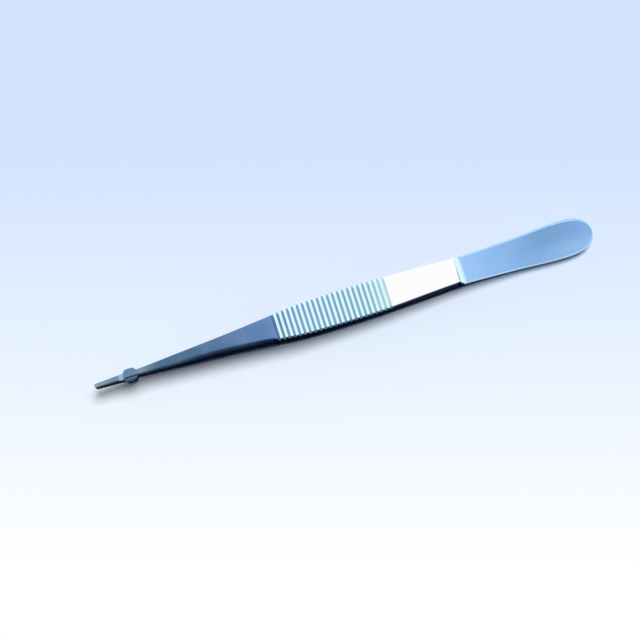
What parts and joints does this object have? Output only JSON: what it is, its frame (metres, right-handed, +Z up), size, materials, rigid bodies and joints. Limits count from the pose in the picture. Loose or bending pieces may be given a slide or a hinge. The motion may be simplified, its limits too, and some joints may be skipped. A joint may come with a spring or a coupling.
{
  "type": "thumb forceps for wound clips",
  "caption": "Sprung thumb forceps with a ribbed grip on each leaf, a thin flared spring paddle, slim prong tips and side lugs that seat a wound clip.",
  "frame": {"origin": "under the middle of the instrument, on the surface that it lies on", "axes": "+X along the instrument from the tips to the butt, +Y across the leaves, +Z up"},
  "size_m": [0.145, 0.0106, 0.015],
  "materials": {
    "satin_steel": "ground and satin polished stainless steel with brighter polished edges"
  },
  "bodies": {
    "root": {"upper_leaf": "satin_steel", "lower_leaf": "satin_steel"}
  },
  "joints": []
}
